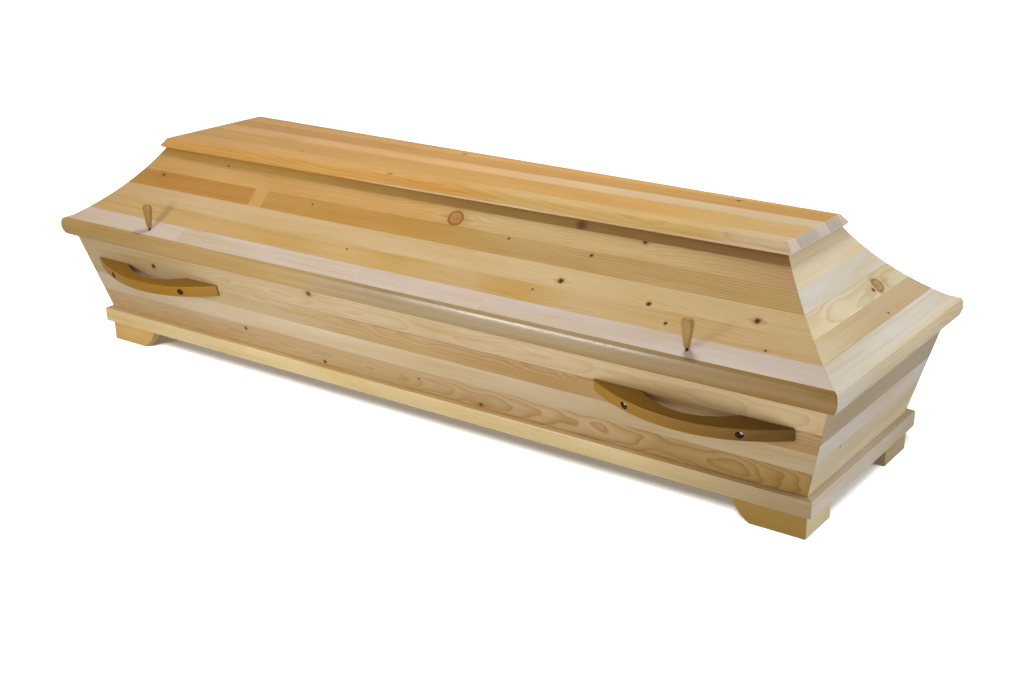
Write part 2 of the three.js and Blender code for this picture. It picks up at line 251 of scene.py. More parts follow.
CAP_STAVES = (
    whole(((50, "cap orange"), (200, "cap straw"), (650, "cap straw"), (760, "cap cream")),
           0.95, 0.5),
    whole(((500, "cap gold"), (760, "cap straw")), 0.5, 0.6),
    (Piece(-520, "cap rose", 0.2), Piece(LAST, ((-100, "cap rose"), (500, "cap cream")), 0.3, 0.3)),
    whole("cap amber", 0.6, 0.6),
    whole("cap orange", 0.4),
)
SKIRTING_STAVES = (whole(((0, "yellow pine"), (600, "yellow pine"), (900, "straw")), 0.8, 0.4),)
FOOT_SKIRTING_STAVES = (whole(((-240, "pearl"), (0, "lilac"), (180, "flax")), 0.6, 0.4),)

FOOT_TONES = {
    ("front", "head"): ("pale foot", "foot return"),
    ("front", "foot"): ("brown foot", "foot return"),
    ("back", "foot"): ("gold", "dull return"),
}

# Knots: place along the board, stave coordinate and radius, in millimetres
FRONT_LID_KNOTS = (
    (-602, 844, 4), (-797, 877, 5), (-300, 879, 2.5), (92, 859, 20), (240, 874, 3), (392, 839, 12),
    (542, 845, 6), (440, 876, 4), (400, 924, 7), (603, 932, 6), (822, 924, 7), (-140, 946, 2.5),
    (350, 948, 2.5), (655, 958, 4), (862, 968, 2.5), (905, 957, 2),
)
FOOT_LID_KNOTS = ((95, 922, 18), (70, 924, 5), (50, 965, 3))
FRONT_BOX_KNOTS = (
    (-733, 243, 7), (-215, 271, 8), (-460, 130, 5), (-220, 95, 5), (220, 94, 5), (60, 118, 3),
)
CAP_KNOTS = ((-120, -128, 6), (-440, -76, 4), (-100, 110, 6), (620, 93, 6), (80, -82, 3))

# Painted highlight along the cap's lower edge: its first ring, places along the cap, and how strongly it
# is painted there
CAP_LIP_HIGHLIGHT = (4, (-250, -50, 250, 450, 700), (0, 0.9, 0.8, 0.3, 0.6))

# Boards with joints, staves or knots of their own
OWN_JOINTS = {
    "lid_board_front": FRONT_LID_JOINTS, "box_board_front": BOX_FRONT_JOINTS,
    "box_board_back": BOX_SIDE_JOINTS,
}
OWN_STAVES = {
    "lid_board_front": FRONT_LID, "lid_board_foot": FOOT_LID, "lid_rim_foot": FOOT_RIM,
    "box_board_front": FRONT_BOX, "box_board_foot": FOOT_BOX, "skirting_foot": FOOT_SKIRTING_STAVES,
}
OWN_KNOTS = {
    "lid_board_front": FRONT_LID_KNOTS, "lid_board_foot": FOOT_LID_KNOTS,
    "box_board_front": FRONT_BOX_KNOTS,
}

# Knots of the other boards: their span across the board, then how far they reach from its middle and
# how many there are, on a side and on an end
QUIET_KNOTS = {
    "lid_board": ((840, 965), (800, 9), (200, 3)),
    "box_board": ((95, 270), (850, 7), (220, 2)),
}


def quiet_staves(count, seed):
    """Staves for a side that the photograph hides: tones and lengths drawn by a seeded generator."""
    draw = np.random.default_rng(seed)
    staves = []
    for _ in range(count):
        stops = sorted(draw.uniform(-700, 700, draw.integers(0, 3)))
        staves.append(tuple(
            Piece(stop, str(draw.choice(QUIET_TONES)), draw.uniform(0.1, 0.8), draw.uniform(0.3, 0.7))
            for stop in (*stops, LAST)))
    return tuple(staves)


def quiet_knots(limits, reach, count, seed):
    """Knots for a hidden side, scattered by a seeded generator."""
    draw = np.random.default_rng(seed)
    return tuple(
        (draw.uniform(-reach, reach), draw.uniform(*limits), draw.choice(QUIET_KNOT_RADII))
        for _ in range(count))


def turned(angle):
    """Unit vectors at angles."""
    return np.stack([np.cos(angle), np.sin(angle)], -1)


def arc(centre, radius, start, stop, count):
    """Points of a circle: the centre plus the radius times the unit vectors at even angles."""
    return np.array(centre) + radius * turned(np.linspace(start, stop, count))


def half_width(level, end):
    """Half-width of an outline at one of its ends."""
    return level - ENDS_BEYOND_SIDES - TAPER * end * level


class Run:
    """One of the four directions a board can take round the coffin."""

    def __init__(self, name):
        self.name = name
        self.is_side = name in SIDES
        self.way = SIDES.get(name) or ENDS[name]

    def corner(self, level):
        """Distance from the board's middle to its mitred corner, at a level."""
        if self.is_side:
            return level
        return half_width(level, self.way)

    def place(self, along, level, height):
        """World points from the distance along the board, the level and the height."""
        if self.is_side:
            return np.stack([along, self.way * (level - ENDS_BEYOND_SIDES - TAPER * along), height], -1)
        return np.stack([self.way * level, along, height], -1)


def profile(*parts):
    """Closed profile of a board, from parts of points, softness and mark: the (level, height) points,
    how far each rounds at a mitred corner, and the coordinate in which its stave joints are told."""
    points, soft, mark = zip(*parts)
    counts = [len(part) for part in points]
    marks = [np.broadcast_to(value, count) for value, count in zip(mark, counts)]
    return np.vstack(points), np.repeat(np.array(soft, float), counts), np.concatenate(marks)


def in_scene(name, data):
    """New object in the scene."""
    thing = bpy.data.objects.new(name, data)
    bpy.context.scene.collection.objects.link(thing)
    return thing


def vertex_places(mesh):
    """Places of a mesh's vertices, one row for each."""
    places = np.zeros(len(mesh.vertices) * 3, np.float32)
    mesh.vertices.foreach_get("co", places)
    return places.reshape(-1, 3)


def turned_outwards(piece):
    """Turns every face over if the closed mesh holds a negative volume."""
    mesh = piece.data
    mesh.calc_loop_triangles()
    corners = np.zeros(len(mesh.loop_triangles) * 3, np.int32)
    mesh.loop_triangles.foreach_get("vertices", corners)
    a, b, c = vertex_places(mesh)[corners.reshape(-1, 3)].transpose(1, 0, 2)
    if np.einsum("ij,ij->i", np.cross(a, b), c).sum() < 0:
        mesh.flip_normals()
    return piece


def mesh_piece(name, vertices, faces):
    """Mesh object from vertices and faces."""
    mesh = bpy.data.meshes.new(name)
    mesh.from_pydata(np.asarray(vertices).tolist(), [], faces)
    mesh.update()
    return in_scene(name, mesh)


def write_corners(mesh, corners):
    """Writes the grain onto a mesh. corners holds one row for each face corner:
    u, v, red, green, blue, seed, figure, contrast, and the offset and radius of its knot."""
    corners = np.asarray(corners, np.float32)
    mesh.uv_layers.new(name="grain").data.foreach_set("uv", corners[:, 0:2].ravel())
    colours = np.insert(corners[:, 2:5], 3, 1, axis=1)
    mesh.attributes.new("tone", "FLOAT_COLOR", "CORNER").data.foreach_set("color", colours.ravel())
    for label, first in (("stave", 5), ("knot", 8)):
        attribute = mesh.attributes.new(label, "FLOAT_VECTOR", "CORNER")
        attribute.data.foreach_set("vector", corners[:, first:first + 3].ravel())


def stave_mesh(name, vertices, faces, corners):
    """Closed mesh object with the grain written on it."""
    piece = mesh_piece(name, vertices, faces)
    write_corners(piece.data, corners)
    return turned_outwards(piece)


NO_KNOT = np.array([9.0, 9.0, 0.001])
KNOT_REACH = 130 * MM
PITH_OUTSIDE = 110 * MM
PITH_SPREAD = (1, 5)
CREASE_ANGLE = math.radians(35)
END_GRAIN_SHARE = 0.85
END_BLOCK_CONTRAST = 0.13


def stave_rows(uv_faces, marks, limits, staves, knots, seed, hidden):
    """Tone, figure and nearest knot of every face of a grid.

    uv_faces is (face, 4, 2); marks and hidden are (face,), hidden marking the inner side. A face belongs
    to the stave between two joints and to the piece of it between two butt ends. It keeps the offset of
    its four corners from the nearest knot of the same piece, so that the offset runs on evenly over the
    faces round that knot. The v coordinate is then told from the piece's pith, which lies outside a
    straight-grained stave and inside a figured one."""
    limits = np.asarray(limits, float) * MM
    along = uv_faces[:, :, 0].mean(1)
    stave = np.searchsorted(limits, marks)
    rows = np.zeros((len(along), 4, 9), np.float32)
    rows[:, :, 6:9] = NO_KNOT
    owner = np.zeros(len(along), int)
    for s, pieces in enumerate(staves):
        for p, piece in reversed(list(enumerate(pieces))):
            inside = (stave == s) & (along < piece.end)
            rows[inside, :, 0:3] = piece.tone_at(uv_faces[inside, :, 0])
            rows[inside, :, 3] = (seed * 3.71 + s * 1.37 + p * 5.93) % 50
            rows[inside, :, 4] = piece.figure
            rows[inside, :, 5] = piece.contrast_at(uv_faces[inside, :, 0])
            owner[inside] = s * 10 + p
    owner[hidden] += 1000
    best = np.full(len(along), KNOT_REACH ** 2)
    centre_v = uv_faces[:, :, 1].mean(1)
    for knot_u, knot_v, mark, radius in knots:
        s = int(np.searchsorted(limits, mark))
        ends = [piece.end for piece in staves[s]]
        p = int(np.searchsorted(ends, knot_u))
        distance = (along - knot_u) ** 2 + (2 * (centre_v - knot_v)) ** 2
        nearer = (owner == s * 10 + p) & (distance < best)
        best[nearer] = distance[nearer]
        rows[nearer, :, 6] = uv_faces[nearer, :, 0] - knot_u
        rows[nearer, :, 7] = uv_faces[nearer, :, 1] - knot_v
        rows[nearer, :, 8] = radius
    for stave_piece in np.unique(owner):
        inside = owner == stave_piece
        draw = np.random.default_rng(seed * 100 + int(stave_piece))
        off = PITH_OUTSIDE * (1 - rows[inside, 0, 4][0]) + draw.uniform(*PITH_SPREAD) * MM
        uv_faces[inside, :, 1] -= centre_v[inside].mean() + off * draw.choice((-1, 1))
    return rows


def grid_faces(rows, columns, closed):
    """Corner indices (face, 4) of a grid, wrapping from the last row to the first when closed."""
    count = rows if closed else rows - 1
    i, j = np.meshgrid(np.arange(count), np.arange(columns - 1), indexing="ij")
    after = (i + 1) % rows
    here, there = i * columns + j, after * columns + j
    quads = np.stack([here, here + 1, there + 1, there], -1)
    return quads.reshape(-1, 4), i.ravel(), j.ravel()


CORNER_STEPS = np.linspace(0, math.pi / 4, 4)
STATION_SPACING = 22 * MM
CLEAR_OF_CORNER = 12 * MM


def mitred_board(name, run, outline, limits, staves, knots=(), seed=0, radius=CORNER_RADIUS):
    """A profile carried straight along the coffin and mitred at both corners.

    Close to a corner the outer face turns in along a quarter-turn's half: at the angle t, the face is
    radius times (1 - cos t) deeper and ends radius times (1 - sin t) before the mitre."""
    points, soft, mark = outline
    level, height = points[:, 0:1], points[:, 1:2]
    reach = run.corner(level) - MITRE_GAP
    ends = np.array([piece.end for pieces in staves for piece in pieces])
    middle = float(reach.min()) - CLEAR_OF_CORNER
    stations = np.linspace(-middle, middle, 1 + 2 * int(middle / STATION_SPACING))
    stops = np.union1d(stations, ends[abs(ends) < middle])
    t = CORNER_STEPS[None, :]
    depth = soft[:, None] * radius * (1 - np.cos(t))
    short = radius * (soft[:, None] * (1 - np.sin(t)) + (1 - soft[:, None]) * (1 - t / CORNER_STEPS[-1]))
    right = reach - short
    inner = np.broadcast_to(stops, (len(points), len(stops)))
    along = np.hstack([-right[:, ::-1], inner, right])
    deeper = np.hstack([depth[:, ::-1], np.zeros_like(inner), depth])
    grid = run.place(along, level - deeper, np.broadcast_to(height, along.shape))
    rows, columns = along.shape
    quads, i, j = grid_faces(rows, columns, closed=True)
    loop = np.vstack([points, points[:1]])
    arc_length = np.concatenate([[0], np.cumsum(np.linalg.norm(np.diff(loop, axis=0), axis=1))])
    corner_i = np.stack([i, i, i + 1, i + 1], -1)
    corner_j = np.stack([j, j + 1, j + 1, j], -1)
    uv_faces = np.stack([along[corner_i % rows, corner_j], arc_length[corner_i]], -1)
    closed_mark = np.append(mark, mark[0])
    face_mark = (closed_mark[i] + closed_mark[i + 1]) / 2
    outer = np.flatnonzero(soft > 0)
    order = outer[np.argsort(mark[outer])]
    placed = [(a * MM, float(np.interp(m * MM, mark[order], arc_length[order])), m * MM, r * MM)
              for a, m, r in knots]
    hidden = np.append(soft, 1)[i] == 0
    data = stave_rows(uv_faces, face_mark, limits, staves, placed, seed, hidden)
    corners = np.concatenate([uv_faces, data], -1).reshape(-1, 11)
    end_faces = [list(range(first, rows * columns, columns)) for first in (0, columns - 1)]
    end_faces[0].reverse()
    cap_rows = np.zeros((2 * rows, 11), np.float32)
    cap_rows[:, 0:2] = np.vstack([points[::-1], points])
    cap_rows[:, 2:] = data[0, 0]
    cap_rows[:, 8:11] = NO_KNOT
    faces = quads.tolist() + end_faces
    return stave_mesh(name, grid.reshape(-1, 3), faces, np.vstack([corners, cap_rows]))


def smooth_by_angle(piece):
    """Smooth shading, with sharp edges kept crisp."""
    mesh = piece.data
    mesh.polygons.foreach_set("use_smooth", [True] * len(mesh.polygons))
    mesh.set_sharp_from_angle(angle=CREASE_ANGLE)
    return piece


def stands_for(piece, *nodes, slot="pale_pine"):
    """Hides the CAD nodes that a piece replaces and hangs the piece on the root body; slot is not used.
    """
    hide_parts(*nodes)
    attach(piece, "root")
    return piece


# Lid: its hollow curve is part of a circle whose centre lies outside and above the slope
def lid_curve():
    """Centre and radius of the circle through the lid's top and shoulder with the given hollow:
    the radius is the half-chord squared plus the hollow squared, over twice the hollow."""
    chord = LID_SHOULDER - LID_TOP
    length = float(np.hypot(*chord))
    radius = (length ** 2 / 4 + LID_HOLLOW ** 2) / (2 * LID_HOLLOW)
    outwards = np.array([-chord[1], chord[0]]) / length
    return (LID_TOP + LID_SHOULDER) / 2 + outwards * (radius - LID_HOLLOW), radius


CURVE_CENTRE, CURVE_RADIUS = lid_curve()
INNER_RADIUS = CURVE_RADIUS + BOARD_THICKNESS


def curve_angle(point):
    return math.atan2(point[1] - CURVE_CENTRE[1], point[0] - CURVE_CENTRE[0])


ANGLE_TOP = curve_angle(LID_TOP)
ANGLE_SHOULDER = curve_angle(LID_SHOULDER)
ANGLE_JOINT = ANGLE_SHOULDER + (ANGLE_TOP - ANGLE_SHOULDER) * RIM_SHARE_OF_SLOPE


def on_curve(angle, radius):
    return CURVE_CENTRE + radius * turned(angle)


def lid_outline(joints):
    """Outer curve down from the cap, with a row at every stave joint, and the inner curve back up."""
    joints = [-math.acos((joint * MM - CURVE_CENTRE[0]) / CURVE_RADIUS) for joint in joints]
    outer = np.union1d(np.linspace(ANGLE_TOP, ANGLE_JOINT, 30), joints)
    inner_top = -math.pi + math.asin((CURVE_CENTRE[1] - LID_TOP[1]) / INNER_RADIUS)
    inner = np.union1d(np.linspace(inner_top, ANGLE_JOINT, 14), joints)[::-1]
    outer_points = on_curve(outer, CURVE_RADIUS)
    inner_marks = on_curve(inner, CURVE_RADIUS)[:, 0]
    return profile((outer_points, 1, outer_points[:, 0]), (on_curve(inner, INNER_RADIUS), 0, inner_marks))


def rim_outline():
    """End of the slope, the rounded nose, the flat underside and the inner faces."""
    joint = ANGLE_JOINT + GAP / CURVE_RADIUS
    inner_face = box_level(BOX_TOP) - BOARD_ACROSS
    inner_turn = -math.acos((inner_face - CURVE_CENTRE[0]) / INNER_RADIUS)
    slope = on_curve(np.linspace(joint, ANGLE_SHOULDER, 8), CURVE_RADIUS)
    belly = arc((HALF_LENGTH - BELLY_RADIUS, BELLY_HEIGHT), BELLY_RADIUS, BELLY_TURN, 0, 8)
    nose_centre = belly[0] - NOSE_TOP_RADIUS * turned(BELLY_TURN)
    nose_top = arc(nose_centre, NOSE_TOP_RADIUS, NOSE_START, BELLY_TURN, 7)
    low_belly = arc(
        (HALF_LENGTH - LOW_BELLY_RADIUS, BELLY_HEIGHT), LOW_BELLY_RADIUS, 0, -BELLY_TURN, 6)[1:]
    low_start = RIM_LOW + NOSE_LOW_RADIUS * (1 - math.sin(BELLY_TURN))
    low_level = low_belly[-1, 0] - (low_belly[-1, 1] - low_start) * math.tan(BELLY_TURN)
    low_centre = np.array([low_level, low_start]) - NOSE_LOW_RADIUS * turned(-BELLY_TURN)
    nose_low = arc(low_centre, NOSE_LOW_RADIUS, -BELLY_TURN, -math.pi / 2, 9)
    shelf = LID_SHOULDER + (nose_top[0] - LID_SHOULDER) * np.array(SHELF_SHARES)
    beyond = HALF_LENGTH + 1 * MM
    return profile(
        (slope, 1, slope[:, 0]),
        (shelf, 1, np.array(SHELF_MARKS) * MM),
        (np.vstack([nose_top, belly[1:], low_belly, nose_low]), 1, beyond),
        (np.array([[inner_face, RIM_LOW]]), 0, beyond),
        (on_curve(np.linspace(inner_turn, joint, 6), INNER_RADIUS), 0, beyond))


def box_level(height):
    return BOX_FOOT_LEVEL + BOX_LEAN * (height - BOTTOM_TOP)


def box_outline(joints):
    """Leaning board with a softened upper outer edge and a row at every stave joint."""
    joints = np.array(joints) * MM
    rise = np.union1d(np.linspace(BOX_START, BOX_TOP - EDGE_RADIUS, 14), joints)
    outer = np.stack([box_level(rise), rise], -1)
    turn = np.linspace(0.2, 1, 4)[:, None]
    edge = outer[-1] + turn * [[-0.6 * EDGE_RADIUS, 0]] + np.sqrt(turn) * [[0, EDGE_RADIUS]]
    fall = np.union1d(np.array([BOX_START, BOX_TOP]), joints)[::-1]
    inner = np.stack([box_level(fall) - BOARD_ACROSS, fall], -1)
    return profile((outer, 1, outer[:, 1]), (edge, 1, edge[:, 1]), (inner, 0, inner[:, 1]))


def skirting_outline():
    """Plain moulding with a softened top edge, behind which the leaning board stands."""
    rise = np.linspace(UNDERSIDE + SKIRTING_LOWER_EDGE, SKIRTING_TOP - EDGE_RADIUS, 6)
    face = np.stack([np.full(6, SKIRTING_FACE), rise], -1)
    edge_centre = (SKIRTING_FACE - EDGE_RADIUS, SKIRTING_TOP - EDGE_RADIUS)
    edge = arc(edge_centre, EDGE_RADIUS, 0.3, math.pi / 2, 5)
    back = np.array([
        [box_level(SKIRTING_TOP) + GAP, SKIRTING_TOP],
        [BOX_FOOT_LEVEL + GAP, BOTTOM_TOP],
        [BOX_FOOT_LEVEL + GAP, UNDERSIDE],
        [SKIRTING_FACE - SKIRTING_LOWER_EDGE, UNDERSIDE],
    ])
    return profile((face, 1, face[:, 1]), (edge, 1, edge[:, 1]), (back, 0, back[:, 1]))


def slab(name, rings, joints, staves, knots=(), seed=0, lip_highlight=None):
    """A flat board of staves that run along the coffin, its edge following (level, height) rings
    from the top face's border down and round to the underside's border.

    The top is a grid of straight rows, whose first and last follow the tapered edges; every ring
    repeats the grid's border at its own level. The last argument holds the first ring of a painted
    highlight along the lower edge and, for places along the coffin, how strongly it is painted there."""
    top_level, top_height = rings[0]
    ends = np.array([piece.end for pieces in staves for piece in pieces])
    stops = np.union1d(np.linspace(-top_level, top_level, 81), ends[abs(ends) < top_level - 5 * MM])
    edge = top_level - ENDS_BEYOND_SIDES - TAPER * stops
    narrow = edge.min() - 4 * MM
    joint_rows = np.array(joints) * MM
    straight = np.union1d(np.linspace(-narrow, narrow, 12), joint_rows[abs(joint_rows) < narrow])
    y = np.vstack([-edge, np.broadcast_to(straight[:, None], (len(straight), len(stops))), edge])
    rows, columns = y.shape
    border = np.concatenate([
        np.arange(columns),
        np.arange(1, rows) * columns + columns - 1,
        np.arange(columns - 2, -1, -1) + (rows - 1) * columns,
        np.arange(rows - 2, 0, -1) * columns,
    ])
    top = np.stack([np.broadcast_to(stops, y.shape), y, np.full_like(y, top_height)], -1).reshape(-1, 3)
    size, edge_places = len(border), top[border]
    around, far_corner = np.arange(size), columns + rows - 2
    at_end = abs(abs(edge_places[:, 0]) - top_level) < 1e-7
    at_side = (around < columns) | ((around >= far_corner) & (around < far_corner + columns))
    layers = [top]
    for level, height in rings[1:]:
        layer = edge_places.copy()
        layer[at_end, 0] = np.sign(layer[at_end, 0]) * level
        width = level - ENDS_BEYOND_SIDES - TAPER * layer[:, 0]
        layer[at_side, 1] = (np.sign(layer[:, 1]) * width)[at_side]
        layer[:, 2] = height
        layers.append(layer)
    vertices = np.vstack(layers)

    quads = grid_faces(rows, columns, closed=False)[0]
    faces, uv_faces, marks = [quads], [top[quads][:, :, 0:2]], [top[quads][:, :, 1].mean(1)]
    outwards = np.where(at_side, np.sign(edge_places[:, 1]), 0)[:, None] * [0, 1]
    previous, travelled = border, 0.0
    for k in range(1, len(rings)):
        current = len(top) + (k - 1) * size + around
        step = math.dist(rings[k - 1], rings[k])
        near = edge_places[:, 0:2] + outwards * travelled
        far = edge_places[:, 0:2] + outwards * (travelled + step)
        faces.append(np.stack([previous, current, np.roll(current, -1), np.roll(previous, -1)], -1))
        uv_faces.append(np.stack([near, far, np.roll(far, -1, 0), np.roll(near, -1, 0)], 1))
        marks.append((edge_places[:, 1] + np.roll(edge_places[:, 1], -1)) / 2)
        previous, travelled = current, travelled + step
    faces, uv_faces = np.vstack(faces), np.concatenate(uv_faces)
    placed = [(a * MM, m * MM, m * MM, r * MM) for a, m, r in knots]
    hidden = np.zeros(len(faces), bool)
    data = stave_rows(uv_faces, np.concatenate(marks), joints, staves, placed, seed, hidden)

    # The two ends show end grain, a little darker or paler from stave to stave
    face_x = vertices[faces][:, :, 0]
    end_grain = np.ptp(face_x, axis=1) < 0.6 * (rings[-1][0] - top_level) + 8 * MM
    end_grain &= abs(face_x).mean(1) > top_level - 1 * MM
    end_grain[:len(quads)] = False
    blocks = 1 + END_BLOCK_CONTRAST * np.cos(2.29 * data[end_grain, :, 3:4])
    data[end_grain, :, 0:3] = blocks * (
        END_GRAIN_SHARE * TONES["end grain"] + (1 - END_GRAIN_SHARE) * data[end_grain, :, 0:3])
    # Painted highlight: the lower edge's rings pass towards the pale pearl tone, by places along the
    # coffin
    if lip_highlight:
        edge_rows = slice(len(quads) + (lip_highlight[0] - 1) * size, len(faces))
        share = np.interp(uv_faces[edge_rows, :, 0:1], np.array(lip_highlight[1]) * MM, lip_highlight[2])
        data[edge_rows, :, 0:3] += share * (TONES["pearl"] - data[edge_rows, :, 0:3])
    corners = np.concatenate([uv_faces, data], -1).reshape(-1, 11)
    under = np.zeros((size, 11), np.float32)
    under[:, 0:2] = vertices[previous][::-1, 0:2]
    under[:, 2:] = data[len(data) // 2, 0]
    under[:, 8:11] = NO_KNOT
    underside = [previous[::-1].tolist()]
    return stave_mesh(name, vertices, faces.tolist() + underside, np.vstack([corners, under]))


def plain_corners(piece, tones, seed, figure, contrast):
    """Writes a tone, or one that passes from the first to the last of two, and a grain that runs along
    the longest side onto every corner of a mesh: u is that side's coordinate, and v the other two
    added up, so that no face is streaked flat."""
    mesh = piece.data
    places = vertex_places(mesh)
    index = np.zeros(len(mesh.loops), np.int32)
    mesh.loops.foreach_get("vertex_index", index)
    thin, wide, long = places[index][:, np.argsort(np.ptp(places, axis=0))].T[:, :, None]
    share = (long - long.min()) / np.ptp(long)
    tones = np.atleast_2d(tones)
    colours = (1 - share) * tones[0] + share * tones[-1]
    plain = np.tile([seed, figure, contrast, *NO_KNOT], (len(index), 1))
    write_corners(mesh, np.hstack([long, wide + 0.8 * thin, colours, plain]))


def loft_mesh(name, rings):
    """Closed mesh through matching rings of points, its two end rings filled."""
    rings = np.asarray(rings)
    count, size = rings.shape[:2]
    quads = []
    for k in range(count - 1):
        a = k * size + np.arange(size)
        quads += np.stack([a, np.roll(a, -1), np.roll(a, -1) + size, a + size], -1).tolist()
    last = (count - 1) * size
    faces = quads + [list(range(size - 1, -1, -1)), list(range(last, last + size))]
    return turned_outwards(mesh_piece(name, rings.reshape(-1, 3), faces))


def soften(piece, width, segments=3, degrees=30):
    """Rounds every edge sharper than the angle."""
    bevel = piece.modifiers.new("soft edges", "BEVEL")
    bevel.width = width
    bevel.segments = segments
    bevel.limit_method = "ANGLE"
    bevel.angle_limit = math.radians(degrees)
    return piece


def frozen(piece):
    """Applies a piece's modifiers to its mesh."""
    graph = bpy.context.evaluated_depsgraph_get()
    baked = bpy.data.meshes.new_from_object(piece.evaluated_get(graph), depsgraph=graph)
    old = piece.data
    piece.modifiers.clear()
    piece.data = baked
    baked.name = piece.name
    bpy.data.meshes.remove(old)
    return piece


def bow_handle(name, frame_matrix, tones, seed):
    """Crescent bar: at each place along the wall a rounded rectangle spans from the inner line,
    straight along the wall but hollowed by a circular arc for the fingers, to the outer arc."""
    half = HANDLE_LENGTH / 2
    grip = GRIP_LENGTH / 2
    rise = HANDLE_REACH - HANDLE_TIP
    outer_radius = (half ** 2 + rise ** 2) / (2 * rise)
    grip_radius = (grip ** 2 + GRIP_DEPTH ** 2) / (2 * GRIP_DEPTH)
    along = np.union1d(np.linspace(-half, half, 97), [-grip, grip])
    outer = HANDLE_REACH - outer_radius + np.sqrt(outer_radius ** 2 - along ** 2)
    hollow = GRIP_DEPTH - grip_radius + np.sqrt(np.maximum(grip_radius ** 2 - along ** 2, 0))
    inner = GAP + np.where(abs(along) < grip, np.maximum(hollow, 0), 0)
    corner = np.minimum(HANDLE_EDGE, 0.45 * (outer - inner))[:, None]
    angle = np.concatenate([np.linspace(q, q + math.pi / 2, 5) for q in np.arange(4) * math.pi / 2])
    side = np.repeat([[1, 1], [-1, 1], [-1, -1], [1, -1]], 5, 0)
    middle = ((outer + inner) / 2)[:, None]
    thick = ((outer - inner) / 2)[:, None]
    out = middle + side[:, 0] * (thick - corner) + corner * np.cos(angle)
    up = side[:, 1] * (HANDLE_HEIGHT / 2 - corner) + corner * np.sin(angle)
    rings = np.stack([np.broadcast_to(along[:, None], out.shape), out, up], -1)
    bow = loft_mesh(name, rings)
    plain_corners(bow, tones, seed, 0.6, 0.35)
    for place in (-HANDLE_SCREW_AT, HANDLE_SCREW_AT):
        drill(bow, place)
    bow.data.transform(frame_matrix)
    bow.data.update()
    return turned_outwards(bow)


def drill(bow, place):
    """Takes the screw's round hole out of a handle, with a slight countersink at its mouth."""
    angle = np.linspace(0, 2 * math.pi, 32, endpoint=False)
    circle = np.stack([np.cos(angle), np.zeros(32), np.sin(angle)], -1)
    steps = (
        (SCREW_HOLE_FLOOR, 1.0),
        (SCREW_HOLE_MOUTH - 0.6 * MM, 1.0),
        (SCREW_HOLE_MOUTH + 8 * MM, COUNTERSINK),
    )
    rings = [circle * SCREW_HOLE_RADIUS * grow + [place, out, 0] for out, grow in steps]
    cutter = loft_mesh("drill", rings)
    cut = bow.modifiers.new("hole", "BOOLEAN")
    cut.operation = "DIFFERENCE"
    cut.solver = "EXACT"
    cut.object = cutter
    frozen(bow)
    mesh = cutter.data
    bpy.data.objects.remove(cutter)
    bpy.data.meshes.remove(mesh)


def wall_frame(along, up_wall, way):
    """Matrix whose axes run along a long wall, out of it and up it, at a place on the wall."""
    run = Vector((1, -way * TAPER, 0)).normalized()
    lean = Vector((0, way * BOX_LEAN, 1))
    up = (lean - run * lean.dot(run)).normalized()
    out = run.cross(up) * -way
    side = Run("front" if way < 0 else "back")
    matrix = Matrix((run, out, up)).transposed().to_4x4()
    matrix.translation = Vector(side.place(along, box_level(WALL_START), WALL_START)) + up * up_wall
    return matrix


def wing_head(name, base, turn, tone, seed):
    """Upright wing head: eight-sided sections that widen from the shank and narrow at the top,
    joined by flat facets with slightly worn edges."""
    corner = WING_CORNER
    rings = []
    for h, w, d in np.array(WING_SECTIONS) * MM:
        outline = np.array([
            [w, corner - d], [w, d - corner], [w - corner, d], [corner - w, d],
            [-w, d - corner], [-w, corner - d], [corner - w, -d], [w - corner, -d]])
        rings.append(np.column_stack([outline, np.full(8, h)]))
    head = loft_mesh(name, rings)
    plain_corners(head, tone, seed, 0.6, 0.8)
    soften(head, WING_EDGE, 2, 12)
    frozen(head)
    head.data.transform(Matrix.Translation(base) @ Matrix.Rotation(turn, 4, "Z"))
    head.data.update()
    return head


def foot_board(name, run, way, outline_at):
    """Board between its outer and its inner face, each an outline of (along, height) at its level."""
    faces = []
    for level in (FEET_FACE, FEET_FACE - FOOT_THICKNESS):
        along, height = np.array(outline_at(level)).T
        faces.append(run.place(way * along, np.full(len(along), level), height))
    return loft_mesh(name, faces)


def bracket_boards(side, end):
    """The two boards of a foot: a shaped one along the side and a plain one across the end."""
    way, sign = SIDES[side], ENDS[end]
    t = np.linspace(0, 1, 13)[:, None]
    start = np.array([FEET_FACE - FOOT_LENGTH_AT_TOP, FEET_TOP])
    bend = np.array([FEET_FACE - FOOT_LENGTH_AT_TOP, FEET_TOP / 2])
    stop = np.array([FEET_FACE - FOOT_LENGTH_AT_FLOOR, 0])
    cut = (1 - t) ** 2 * start + 2 * t * (1 - t) * bend + t ** 2 * stop
    free = half_width(FEET_FACE, sign) - FOOT_END_LENGTH

    def shaped_outline(level):
        return np.vstack([[[level - MITRE_GAP, 0], [level - MITRE_GAP, FEET_TOP]], cut])

    def plain_outline(level):
        corner = half_width(level, sign) - MITRE_GAP
        return [[corner, 0], [corner, FEET_TOP], [free, FEET_TOP], [free, 0]]

    return (foot_board(f"foot_board_{side}_{end}_wood", Run(side), sign, shaped_outline),
            foot_board(f"foot_return_{side}_{end}_wood", Run(end), way, plain_outline))


